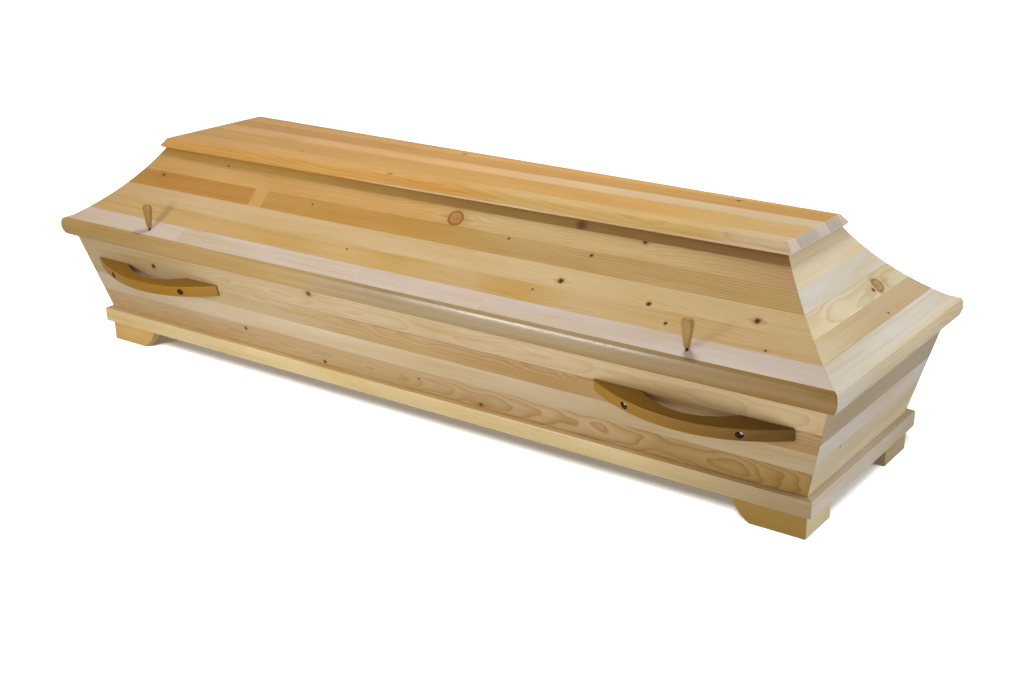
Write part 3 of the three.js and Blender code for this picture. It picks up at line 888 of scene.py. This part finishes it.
class Recipe:
    """Adds nodes to one material and joins them."""

    def __init__(self, name):
        self.material = bpy.data.materials.new(name)
        self.material.use_nodes = True
        self.tree = self.material.node_tree
        self.shader = self.tree.nodes["Principled BSDF"]

    def join(self, value, socket):
        """Links what a node puts out to a socket, or sets the socket to a value."""
        if isinstance(value, bpy.types.NodeSocket):
            self.tree.links.new(value, socket)
        else:
            socket.default_value = value

    def give(self, socket, value):
        """Gives the shader a value, or what a node puts out."""
        self.join(value, self.shader.inputs[socket])

    def outputs(self, kind, inputs, **settings):
        """Adds a node with its settings and inputs, and tells what it puts out."""
        node = self.tree.nodes.new(kind)
        for key, value in settings.items():
            setattr(node, key, value)
        for key, value in inputs.items():
            self.join(value, node.inputs[key])
        return node.outputs

    def math(self, operation, *values):
        return self.outputs("ShaderNodeMath", dict(enumerate(values)), operation=operation)[0]

    def times(self, first, second):
        return self.math("MULTIPLY", first, second)

    def plus(self, first, second):
        return self.math("ADD", first, second)

    def square(self, value):
        return self.math("POWER", value, 2.0)

    def vector(self, *parts):
        return self.outputs("ShaderNodeCombineXYZ", dict(enumerate(parts)))[0]

    def parts(self, vector):
        return self.outputs("ShaderNodeSeparateXYZ", {0: vector})

    def attribute(self, name, output):
        return self.outputs("ShaderNodeAttribute", {}, attribute_name=name)[output]

    def place(self):
        """A point's place on the piece, in metres."""
        return self.outputs("ShaderNodeTexCoord", {})["Object"]

    def noise(self, vector, scale, detail):
        settings = {"Vector": vector, "Scale": scale, "Detail": detail}
        return self.outputs("ShaderNodeTexNoise", settings)["Fac"]

    def grain_noise(self, u, v, seed, lengthwise, crosswise, detail=2.0):
        """Noise with this many patches in a metre along the grain and across it."""
        spot = self.vector(self.times(u, lengthwise), self.times(v, crosswise), seed)
        return self.noise(spot, 1.0, detail)

    def ramp(self, value, start, stop, low_value=0.0, high_value=1.0):
        """Smooth passage from one value at the start to another at the stop."""
        settings = {"Value": value, "From Min": start, "From Max": stop,
                    "To Min": low_value, "To Max": high_value}
        return self.outputs("ShaderNodeMapRange", settings, interpolation_type="SMOOTHSTEP")["Result"]

    def mix(self, share, first, second, blend="MIX"):
        settings = {"Factor": share, 6: first, 7: second}
        return self.outputs("ShaderNodeMix", settings, data_type="RGBA", blend_type=blend)[2]

    def product(self, first, second):
        """Two colours multiplied."""
        return self.mix(1.0, first, second, "MULTIPLY")

    def tinted(self, colour, share, tint):
        """Colour that passes, by the share, to its product with a tint."""
        return self.mix(share, colour, self.product(colour, tint))

    def bump(self, height, distance, strength):
        settings = {"Height": height, "Distance": distance, "Strength": strength}
        return self.outputs("ShaderNodeBump", settings)["Normal"]


# Rings of straight grain, and how much wider they show in a figured board
RING_PITCH = 3.8 * MM
RING_WIDENING = 2.4 * MM

# Tints, which multiply the tone, and the colours of small knots
PINE_RING_TINT = (0.74, 0.58, 0.36, 1)
HONEY_RING_TINT = (0.66, 0.52, 0.34, 1)
STREAK_TINT = (0.84, 0.72, 0.5, 1)
DARK_PATCH_TINT = (0.95, 0.87, 0.66, 1)
LIGHT_PATCH_TINT = (1.08, 1.1, 1.16, 1)
FIBRE_TINT = (0.6, 0.48, 0.34, 1)
HALO_TINT = (0.84, 0.66, 0.4, 1)
LARGE_KNOT_TINT = (0.82, 0.62, 0.34, 1)
LARGE_KNOT_OUTLINE_TINT = (0.38, 0.22, 0.1, 1)
SMALL_KNOT_HEART = (0.035, 0.013, 0.003, 1)
SMALL_KNOT_BORDER = (0.24, 0.12, 0.035, 1)
KNOT_TAIL = (0.2, 0.1, 0.03, 1)


def lacquered_wood(name, gloss, coat, ring_tint):
    """Stave wood: growth rings cut through at a depth below which their pith wanders, bent round the
    knots, with fibre, streaks, soft patches and lacquer."""
    r = Recipe(name)
    u, v, _ = r.parts(r.outputs("ShaderNodeUVMap", {}, uv_map="grain")[0])
    seed, figure, contrast = r.parts(r.attribute("stave", "Vector"))
    knot_u, knot_v, knot_size = r.parts(r.attribute("knot", "Vector"))
    tone = r.attribute("tone", "Color")
    shift = r.times(seed, 7.3)

    # Growth lines part round a knot as a stream parts round a post
    across = r.math("DIVIDE", knot_v, knot_size)
    along = r.math("DIVIDE", knot_u, knot_size)
    far = r.plus(r.square(r.times(along, 0.42)), r.square(across))
    bend = r.math("DIVIDE", knot_v, r.math("MAXIMUM", far, 1.0))
    line = r.math("SUBTRACT", v, bend)

    # Rings are circles round the pith; the board cuts them at a depth that drifts along its length
    drift = r.grain_noise(u, line, shift, 4.5, 9.0)
    slope = r.times(r.math("SINE", shift), 0.055)
    depth = r.times(r.plus(u, r.math("SINE", r.times(shift, 3.0))), slope)
    depth = r.times(r.plus(depth, r.math("MULTIPLY_ADD", drift, 0.05, -0.013)), figure)
    cut = r.math("SQRT", r.plus(r.square(line), r.square(depth)))
    pitch = r.math("MULTIPLY_ADD", figure, RING_WIDENING, RING_PITCH)
    waver = r.grain_noise(u, line, shift, 6.0, 60.0)
    turns = r.plus(r.math("DIVIDE", cut, pitch), r.times(waver, 0.9))
    share = r.math("FRACT", r.plus(turns, 100.0))
    ring = r.times(r.math("POWER", share, 2.2), r.ramp(share, 0.9, 1.0, 1.0, 0.0))

    # Fibre, streaks and broad patches
    fibre = r.grain_noise(u, line, shift, 35.0, 900.0)
    streak = r.grain_noise(u, line, shift, 2.6, 110.0, 3.0)
    patch = r.grain_noise(u, v, shift, 4.0, 22.0, 2.5)
    colour = r.tinted(tone, r.times(ring, r.times(contrast, 0.95)), ring_tint)
    colour = r.tinted(colour, r.ramp(streak, 0.5, 0.8, 0.0, 0.55), STREAK_TINT)
    colour = r.tinted(colour, r.ramp(patch, 0.45, 0.75, 0.0, 0.8), DARK_PATCH_TINT)
    colour = r.tinted(colour, r.ramp(patch, 0.5, 0.25, 0.0, 0.8), LIGHT_PATCH_TINT)
    colour = r.tinted(colour, r.ramp(fibre, 0.35, 0.75, 0.0, 0.14), FIBRE_TINT)

    # Knots: small ones dark with a brown border, large ones in the tone's colour with a dark outline
    ragged = r.grain_noise(knot_u, knot_v, shift, 130.0, 130.0)
    oval = r.plus(r.square(along), r.square(r.times(across, 1.15)))
    large = r.ramp(knot_size, 8 * MM, 16 * MM)
    unevenness = r.math("MULTIPLY_ADD", large, -0.5, 0.8)
    radius = r.plus(r.math("SQRT", oval), r.times(r.math("SUBTRACT", ragged, 0.5), unevenness))
    rings = r.math("MULTIPLY_ADD", r.math("SINE", r.times(radius, 16.0)), 0.1, 0.9)
    small_heart = r.mix(r.ramp(radius, 0.45, 0.8), SMALL_KNOT_HEART, SMALL_KNOT_BORDER)
    large_heart = r.product(colour, r.product(LARGE_KNOT_TINT, r.vector(rings, rings, rings)))
    outline = r.product(colour, LARGE_KNOT_OUTLINE_TINT)
    large_heart = r.mix(r.times(r.ramp(radius, 0.66, 0.9), 0.8), large_heart, outline)
    heart = r.mix(large, small_heart, large_heart)
    colour = r.tinted(colour, r.times(r.ramp(radius, 2.3, 0.9), 0.5), HALO_TINT)
    colour = r.mix(r.ramp(radius, 1.08, 0.94), colour, heart)
    narrow = r.ramp(r.math("ABSOLUTE", across), 0.22, 0.02)
    tail = r.times(narrow, r.ramp(r.math("ABSOLUTE", along), 4.5, 1.0))
    r.give("Base Color", r.mix(r.times(tail, 0.3), colour, KNOT_TAIL))

    # Lacquer: slightly uneven, following the fibre
    place = r.place()
    ripple = r.noise(place, 60.0, 2.0)
    peel = r.noise(place, 260.0, 1.0)
    r.give("Roughness", r.math("MULTIPLY_ADD", ripple, 0.1, 0.35))
    r.give("Specular IOR Level", gloss)
    r.give("Coat Weight", coat)
    r.give("Coat Roughness", 0.12)
    height = r.plus(r.times(ring, 0.35), r.times(fibre, 0.4))
    height = r.plus(height, r.math("MULTIPLY_ADD", ripple, 1.6, r.times(peel, 0.9)))
    r.give("Normal", r.bump(height, 0.25 * MM, 0.7))
    return r.material


def metal(name, colour, roughness, wear):
    """Metal with faint turning marks and a slightly uneven surface."""
    r = Recipe(name)
    place = r.place()
    marks = r.noise(place, 900.0, 2.0)
    cloud = r.noise(place, 160.0, 2.0)
    dull = tuple(0.6 * part for part in colour[:3]) + (1,)
    r.give("Base Color", r.mix(r.ramp(cloud, 0.4, 0.75, 0.0, wear), colour, dull))
    r.give("Roughness", r.math("MULTIPLY_ADD", marks, 0.15, roughness - 0.07))
    r.give("Metallic", 1.0)
    r.give("Normal", r.bump(marks, 0.05 * MM, 0.5))
    return r.material


pine = lacquered_wood("pale stave wood", 0.35, 0.12, PINE_RING_TINT)
honey = lacquered_wood("honey handle wood", 0.2, 0.06, HONEY_RING_TINT)
bright = metal("bright screw", (0.78, 0.75, 0.82, 1), 0.22, 0.3)
dark = metal("dark shank", (0.07, 0.04, 0.025, 1), 0.45, 0.5)

HONEY_TONE = linear("a2771b")
# Darker honey for the far end of the foot-end handles: painted shade
PAINTED_SHADE_HONEY_TONE = linear("624411")
WING_TONE = linear("a28043")


def dress(piece, material):
    """Gives a piece its only material."""
    piece.data.materials.clear()
    piece.data.materials.append(material)
    return piece


def build_around(kind, outline_for, joints=(), staves=None, radius=CORNER_RADIUS):
    """The four mitred boards of one kind, each standing for its CAD node. A board with no joints,
    staves or knots of its own takes the given joints, the given or quiet staves, and quiet knots."""
    for seed, way in enumerate(("front", "back", "head", "foot"), start=len(kind)):
        node, run = f"{kind}_{way}", Run(way)
        limits = OWN_JOINTS.get(node, joints)
        pieces = OWN_STAVES.get(node) or staves or quiet_staves(len(limits) + 1, seed)
        knots = OWN_KNOTS.get(node, ())
        if kind in QUIET_KNOTS and not knots:
            across, on_side, on_end = QUIET_KNOTS[kind]
            knots = quiet_knots(across, *(on_side if run.is_side else on_end), seed)
        board = mitred_board(
            f"{node}_wood", run, outline_for(limits), limits, pieces, knots, seed, radius)
        stands_for(dress(smooth_by_angle(board), pine), node)


def build_lid():
    build_around("lid_board", lid_outline, LID_JOINTS)
    build_around("lid_rim", lambda joints: rim_outline(), (RIM_JOINT,), FRONT_RIM, RIM_CORNER_RADIUS)
    rings = [
        (CAP_TOP_EDGE - 1.2 * MM, CAP_TOP),
        (CAP_TOP_EDGE + 0.2 * MM, CAP_TOP - 0.4 * MM),
        (CAP_TOP_EDGE + 1 * MM, CAP_TOP - 1.4 * MM),
        (CAP_EDGE - 0.6 * MM, CAP_LOW + CAP_LIP + 0.8 * MM),
        (CAP_EDGE, CAP_LOW + CAP_LIP - 0.4 * MM),
        (CAP_EDGE - CAP_LIP / 2, CAP_LOW),
    ]
    cap = slab("lid_cap_wood", rings, CAP_JOINTS, CAP_STAVES, CAP_KNOTS, 3, CAP_LIP_HIGHLIGHT)
    stands_for(dress(smooth_by_angle(cap), pine), "lid_cap")


def build_box():
    build_around("box_board", box_outline, BOX_END_JOINTS)
    build_around("skirting", lambda joints: skirting_outline(), (), SKIRTING_STAVES)
    rings = [(BOX_FOOT_LEVEL, BOTTOM_TOP), (BOX_FOOT_LEVEL, UNDERSIDE)]
    floor_board = slab("bottom_board_wood", rings, BOTTOM_JOINTS, quiet_staves(8, 11), (), 11)
    stands_for(dress(smooth_by_angle(floor_board), pine), "bottom_board")


def build_feet():
    seed = 20
    for side in SIDES:
        for end in ENDS:
            shaped, plain = bracket_boards(side, end)
            tones = FOOT_TONES.get((side, end), ("gold", "foot return"))
            for piece, node, tone in ((shaped, "foot_board", tones[0]), (plain, "foot_return", tones[1])):
                frozen(soften(piece, FOOT_EDGE))
                plain_corners(piece, TONES[tone], seed, 0.5, 0.6)
                smooth_by_angle(piece)
                stands_for(dress(piece, pine), f"{node}_{side}_{end}")
                seed += 1


def build_fittings():
    seed = 40
    for side, way in SIDES.items():
        for end, sign in ENDS.items():
            matrix = wall_frame(sign * HANDLE_AT, HANDLE_UP_WALL, way)
            # Foot-end handles pass to the darker tone at their far end: painted shade
            last = PAINTED_SHADE_HONEY_TONE if end == "foot" else HONEY_TONE
            bow = bow_handle(f"handle_{side}_{end}_wood", matrix, (HONEY_TONE, last), seed)
            stands_for(dress(smooth_by_angle(bow), honey), f"handle_{side}_{end}", slot="honey_wood")
            for number in (1, 2):
                dress(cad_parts[f"handle_screw_{side}_{end}_{number}"], bright)
            wing = f"lid_screw_head_{side}_{end}"
            lowest, highest = Vector(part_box(wing)[0]), Vector(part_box(wing)[1])
            base = Vector(((lowest.x + highest.x) / 2, (lowest.y + highest.y) / 2, lowest.z))
            head = wing_head(f"{wing}_wood", base, -way * math.atan(TAPER), WING_TONE, seed + 1)
            stands_for(dress(smooth_by_angle(head), honey), wing, slot="honey_wood")
            dress(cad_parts[f"lid_screw_shank_{side}_{end}"], dark)
            seed += 2


def aim(thing, place, target):
    """Stands a light at a place and turns its face to the target."""
    thing.location = place
    thing.rotation_euler = (Vector(target) - Vector(place)).to_track_quat("-Z", "Y").to_euler()


def area_light(name, place, target, width, height, power, colour=(1, 1, 1)):
    lamp = bpy.data.lights.new(name, "AREA")
    lamp.shape = "RECTANGLE"
    lamp.size = width
    lamp.size_y = height
    lamp.energy = power
    lamp.color = colour
    light = in_scene(name, lamp)
    aim(light, place, target)
    return light


FLOOR_REACH = 80.0
FLOOR_SUN = (0.69, -1.97, 2.16)


def build_floor():
    """White paper floor with a soft light of its own, so that it stays white beside the coffin."""
    corners = FLOOR_REACH * np.array([[-1, -1], [1, -1], [1, 1], [-1, 1]])
    floor = mesh_piece("floor", np.insert(corners, 2, -0.2 * MM, axis=1), [(0, 1, 2, 3)])
    paper = Recipe("white floor")
    paper.give("Base Color", (0.9, 0.9, 0.9, 1))
    paper.give("Roughness", 0.9)
    paper.give("Specular IOR Level", 0.0)
    dress(floor, paper.material)
    floor.visible_diffuse = False
    floor.visible_glossy = False
    lamp = bpy.data.lights.new("floor light", "SUN")
    lamp.energy = 6
    lamp.angle = math.radians(22)
    light = in_scene("floor light", lamp)
    aim(light, FLOOR_SUN, (0, 0, 0))
    only = bpy.data.collections.new("floor only")
    only.objects.link(floor)
    light.light_linking.receiver_collection = only


def build_studio():
    """White surroundings, a low key light to the left of the camera, a cool panel at the foot end, a
    light above that throws the cap's shadow on the front slope, a card low in front that brightens the
    leaning boards, and a window that only shows as the highlight on the rim's nose."""
    world = bpy.data.worlds.new("studio")
    world.use_nodes = True
    background = world.node_tree.nodes["Background"]
    background.inputs["Color"].default_value = (1, 1, 1, 1)
    background.inputs["Strength"].default_value = 0.42
    bpy.context.scene.world = world
    area_light("key", (-0.96, -2.12, 0.72), (0, -0.2, 0.3), 0.5, 0.5, 15.5, (1, 0.95, 0.88))
    top = area_light("top", (0.2, 0.25, 2.4), (0, 0, 0.4), 0.7, 0.4, 34)
    top.visible_glossy = False
    area_light("panel", (3.4, 0.4, 1.0), (0.9, 0, 0.3), 1.6, 1.4, 32, (0.94, 0.97, 1))
    card = area_light("bounce card", (0.5, -1.1, 0.01), (0.5, -1.1, 1), 2.2, 1.2, 13)
    card.visible_camera = False
    window = area_light(
        "window", (-0.6, -2.12, 0.58), (0.35, -0.33, 0.32), 0.7, 0.34, 30, (0.94, 0.96, 1))
    window.visible_diffuse = False
    bpy.context.scene.view_settings.view_transform = "Standard"


# Camera solved from the coffin's parallel edges in the photograph
PHOTO_WIDTH = 1024
FOCAL_PIXELS = 1359.7
AZIMUTH = math.radians(36.92)
ELEVATION = math.radians(20.98)
ROLL = math.radians(-0.885)
DISTANCE = 3.405
TARGET = Vector((-0.0636, 0.2337, 0.0205))


def build_camera():
    flat = math.cos(ELEVATION)
    back = Vector((math.sin(AZIMUTH) * flat, -math.cos(AZIMUTH) * flat, math.sin(ELEVATION)))
    level_right = Vector((math.cos(AZIMUTH), math.sin(AZIMUTH), 0))
    level_up = back.cross(level_right)
    right = level_right * math.cos(ROLL) + level_up * math.sin(ROLL)
    up = level_up * math.cos(ROLL) - level_right * math.sin(ROLL)
    data = bpy.data.cameras.new("camera")
    data.sensor_fit = "HORIZONTAL"
    data.sensor_width = 36
    data.lens = FOCAL_PIXELS / PHOTO_WIDTH * data.sensor_width
    camera = in_scene("camera", data)
    matrix = Matrix((right, up, back)).transposed().to_4x4()
    matrix.translation = TARGET + back * DISTANCE
    camera.matrix_world = matrix
    bpy.context.scene.camera = camera


build_camera()
build_studio()
build_floor()
build_lid()
build_box()
build_feet()
build_fittings()
